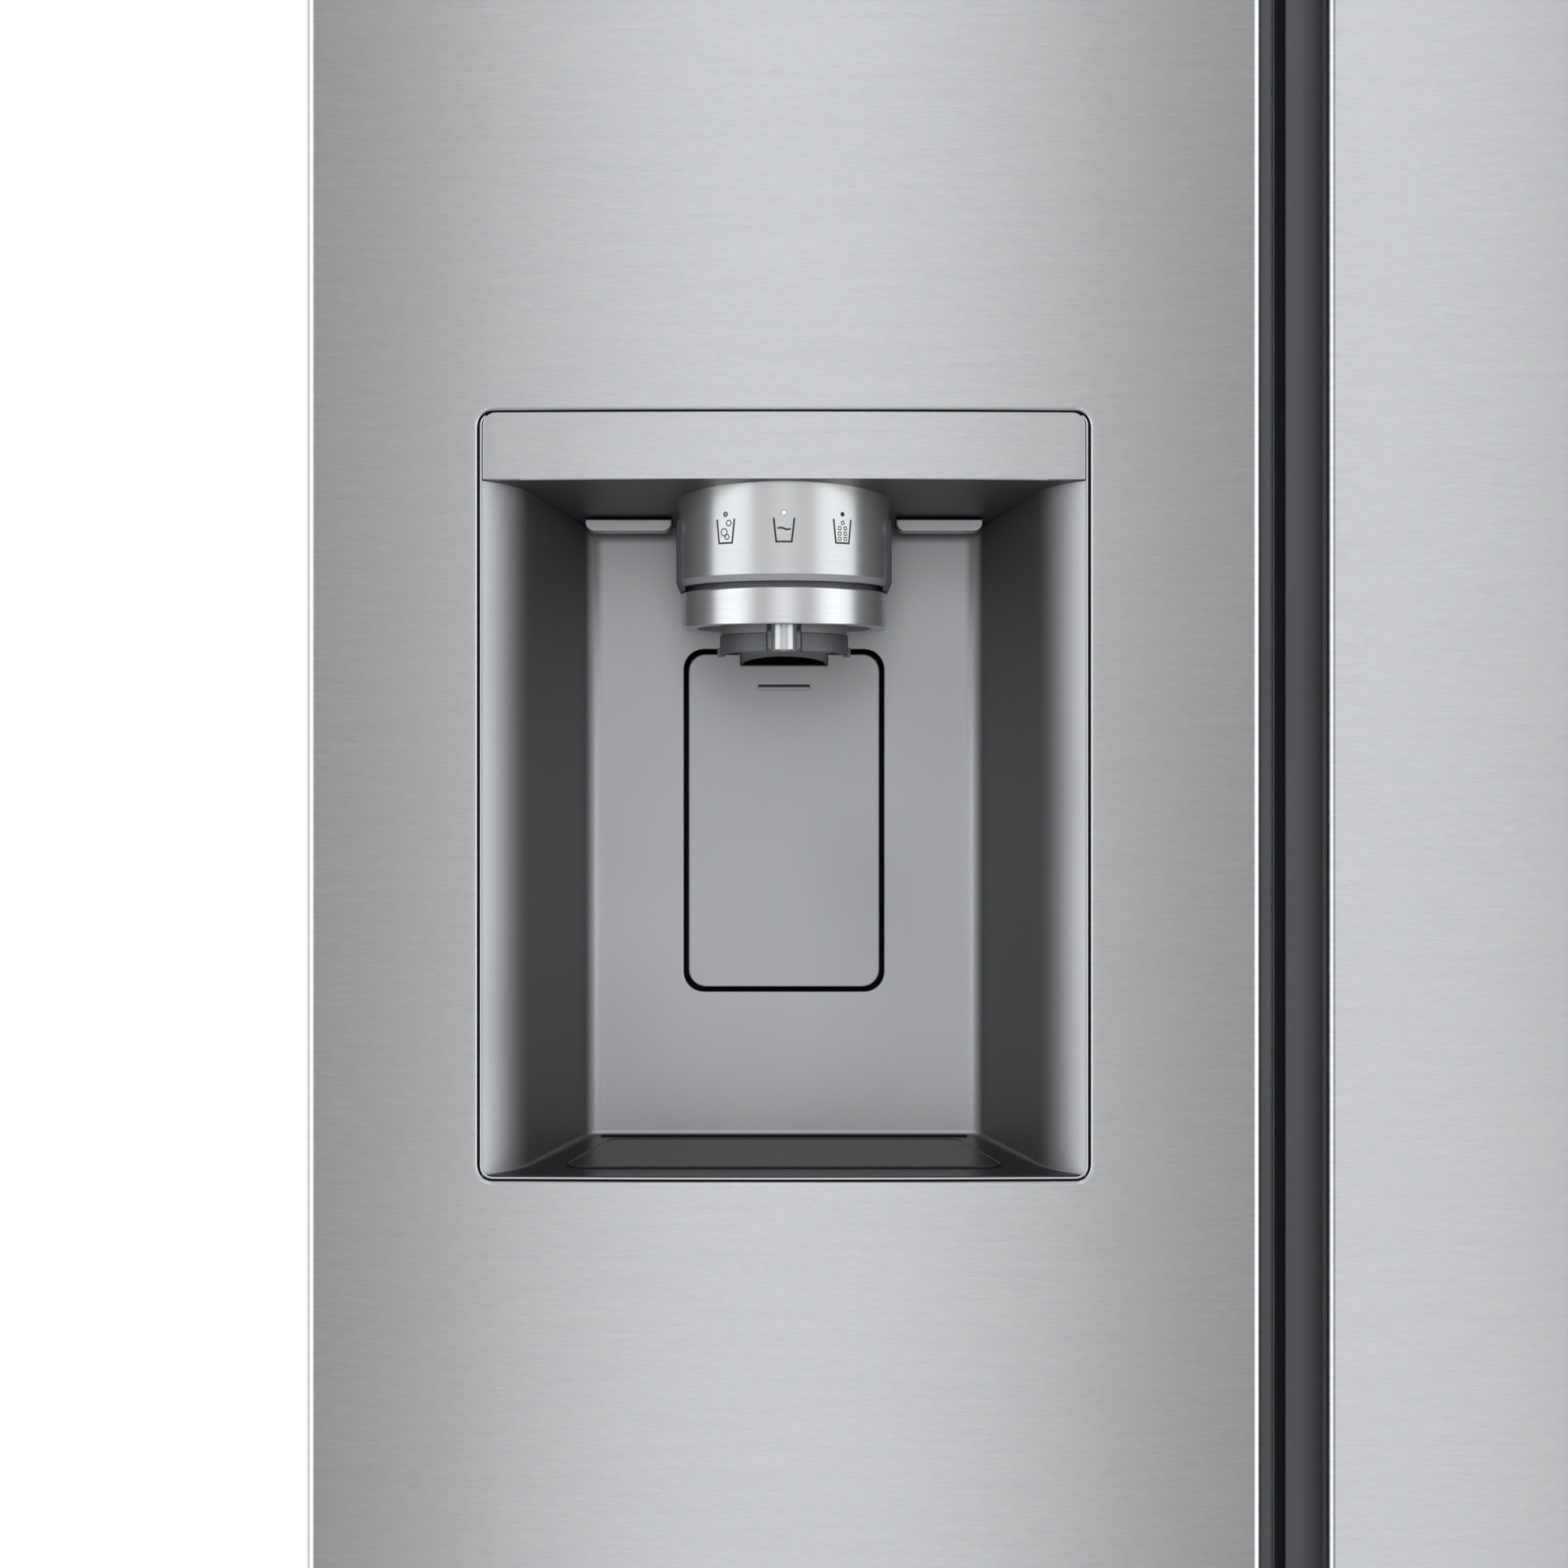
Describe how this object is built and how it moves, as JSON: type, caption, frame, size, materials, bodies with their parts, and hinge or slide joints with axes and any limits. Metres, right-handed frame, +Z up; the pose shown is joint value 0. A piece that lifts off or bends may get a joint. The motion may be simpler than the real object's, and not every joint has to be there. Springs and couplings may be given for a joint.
{
  "type": "side by side refrigerator",
  "caption": "Side by side refrigerator with bowed brushed steel doors, recessed grips and an ice and water dispenser let into the freezer door.",
  "frame": {"origin": "on the floor under the middle of the whole appliance", "axes": "+Z up, +X to the right of someone facing the doors, +Y towards the wall behind"},
  "size_m": [0.912, 0.85, 1.785],
  "materials": {
    "brushed_steel": "horizontal brush",
    "chrome": "polished",
    "case_paint": "fine texture",
    "zinc_steel": "zinc plated",
    "black_enamel": "gloss",
    "dark_plastic": "fine texture",
    "dispenser_plastic": "satin",
    "paddle_plastic": "satin",
    "nozzle_plastic": "fine texture",
    "tray_plastic": "gloss",
    "lamp_lens": "frosted",
    "liner_white": "satin",
    "clear_plastic": "clear",
    "shelf_glass": "polished",
    "foam": "cut foam",
    "gasket_rubber": "matt",
    "wheel_plastic": "moulded",
    "copper": "dull",
    "coil_aluminium": "mill finish",
    "fan_plastic": "moulded",
    "ice_plastic": "moulded"
  },
  "bodies": {
    "cabinet": {"outer_wrapper": "case_paint", "cabinet_foam": "foam", "freezer_liner": "liner_white", "fridge_liner": "liner_white", "back_panel": "zinc_steel", "machine_cover": "zinc_steel", "base_frame": "zinc_steel", "compressor": "black_enamel", "condenser_coil": "copper", "condenser_fan_shroud": "fan_plastic", "evaporator_coil": "coil_aluminium", "evaporator_cover": "liner_white", "ice_maker": "ice_plastic", "ice_bin": "clear_plastic", "freezer_shelves": "shelf_glass", "fridge_shelves": "shelf_glass", "cabinet_lamps": "lamp_lens", "top_hinges": "zinc_steel", "bottom_hinges": "zinc_steel", "hinge_covers": "dark_plastic", "toe_grille": "dark_plastic", "roller_axles": "zinc_steel", "water_inlet": "ice_plastic", "power_inlet": "wheel_plastic"},
    "freezer_door": {"freezer_door_skin": "brushed_steel", "freezer_door_foam": "foam", "freezer_door_liner": "liner_white", "freezer_door_gasket": "gasket_rubber", "freezer_door_caps": "dark_plastic", "freezer_door_bins": "clear_plastic", "freezer_handle": "dark_plastic", "dispenser_housing": "dispenser_plastic", "dispenser_fascia": "brushed_steel", "dispenser_lamps": "lamp_lens", "nozzle_housing": "chrome", "nozzle_ring": "brushed_steel", "ice_funnel": "nozzle_plastic", "water_nozzle": "chrome", "ice_chute": "ice_plastic"},
    "fridge_door": {"fridge_door_skin": "brushed_steel", "fridge_door_foam": "foam", "fridge_door_liner": "liner_white", "fridge_door_gasket": "gasket_rubber", "fridge_door_caps": "dark_plastic", "fridge_door_bins": "clear_plastic", "fridge_handle": "dark_plastic"},
    "condenser_fan_body": {"condenser_fan": "fan_plastic"},
    "evaporator_fan_body": {"evaporator_fan": "fan_plastic"},
    "ice_auger_body": {"ice_auger": "ice_plastic"},
    "freezer_drawer_lower_body": {"freezer_drawer_lower": "clear_plastic"},
    "freezer_drawer_upper_body": {"freezer_drawer_upper": "clear_plastic"},
    "crisper_lower_body": {"crisper_lower": "clear_plastic"},
    "crisper_upper_body": {"crisper_upper": "clear_plastic"},
    "left_levelling_leg_body": {"left_levelling_leg": "zinc_steel"},
    "right_levelling_leg_body": {"right_levelling_leg": "zinc_steel"},
    "left_roller_body": {"left_roller": "wheel_plastic"},
    "right_roller_body": {"right_roller": "wheel_plastic"},
    "ice_flap_body": {"ice_flap": "nozzle_plastic"},
    "paddle_body": {"paddle": "paddle_plastic"},
    "drip_tray_body": {"drip_tray": "tray_plastic"}
  },
  "joints": [
    {"name": "freezer_door_swing", "type": "hinge", "parent": "cabinet", "child": "freezer_door", "pos_m": [-0.434, -0.368, 0.9], "axis": [0, 0, -1], "range_deg": [0, 130]},
    {"name": "fridge_door_swing", "type": "hinge", "parent": "cabinet", "child": "fridge_door", "pos_m": [0.434, -0.368, 0.9], "axis": [0, 0, 1], "range_deg": [0, 130]},
    {"name": "freezer_lower_drawer_slide", "type": "slide", "parent": "cabinet", "child": "freezer_drawer_lower_body", "axis": [0, -1, 0], "range_m": [0, 0.25]},
    {"name": "freezer_upper_drawer_slide", "type": "slide", "parent": "cabinet", "child": "freezer_drawer_upper_body", "axis": [0, -1, 0], "range_m": [0, 0.25]},
    {"name": "crisper_lower_slide", "type": "slide", "parent": "cabinet", "child": "crisper_lower_body", "axis": [0, -1, 0], "range_m": [0, 0.25]},
    {"name": "crisper_upper_slide", "type": "slide", "parent": "cabinet", "child": "crisper_upper_body", "axis": [0, -1, 0], "range_m": [0, 0.25]},
    {"name": "paddle_press", "type": "hinge", "parent": "freezer_door", "child": "paddle_body", "pos_m": [-0.2585, -0.318, 1.157], "axis": [1, 0, 0], "range_deg": [0, 6], "stiffness_Nm_per_rad": 0.6, "springref_deg": -2.86},
    {"name": "ice_flap_open", "type": "hinge", "parent": "freezer_door", "child": "ice_flap_body", "pos_m": [-0.2585, -0.354, 1.2043], "axis": [1, 0, 0], "range_deg": [0, 48]},
    {"name": "drip_tray_lift", "type": "slide", "parent": "freezer_door", "child": "drip_tray_body", "axis": [0, 0, 1], "range_m": [0, 0.05]},
    {"name": "left_leg_turn", "type": "hinge", "parent": "cabinet", "child": "left_levelling_leg_body", "pos_m": [-0.4, -0.27, 0.03], "axis": [0, 0, 1], "continuous": true},
    {"name": "right_leg_turn", "type": "hinge", "parent": "cabinet", "child": "right_levelling_leg_body", "pos_m": [0.4, -0.27, 0.03], "axis": [0, 0, 1], "continuous": true},
    {"name": "left_roller_spin", "type": "hinge", "parent": "cabinet", "child": "left_roller_body", "pos_m": [-0.4, 0.37, 0.022], "axis": [1, 0, 0], "continuous": true},
    {"name": "right_roller_spin", "type": "hinge", "parent": "cabinet", "child": "right_roller_body", "pos_m": [0.4, 0.37, 0.022], "axis": [1, 0, 0], "continuous": true},
    {"name": "condenser_fan_spin", "type": "hinge", "parent": "cabinet", "child": "condenser_fan_body", "pos_m": [0.04, 0.31, 0.16], "axis": [1, 0, 0], "continuous": true},
    {"name": "evaporator_fan_spin", "type": "hinge", "parent": "cabinet", "child": "evaporator_fan_body", "pos_m": [-0.2585, 0.324, 1.13], "axis": [0, 1, 0], "continuous": true},
    {"name": "ice_auger_spin", "type": "hinge", "parent": "cabinet", "child": "ice_auger_body", "pos_m": [-0.2585, 0, 1.362], "axis": [0, 1, 0], "continuous": true}
  ],
  "couplings": [
    {"joint": "freezer_lower_drawer_slide", "follows": "freezer_door_swing", "m_per_rad": 0.11},
    {"joint": "freezer_upper_drawer_slide", "follows": "freezer_door_swing", "m_per_rad": 0.11},
    {"joint": "crisper_lower_slide", "follows": "fridge_door_swing", "m_per_rad": 0.11},
    {"joint": "crisper_upper_slide", "follows": "fridge_door_swing", "m_per_rad": 0.11},
    {"joint": "ice_flap_open", "follows": "paddle_press", "ratio": 8}
  ]
}
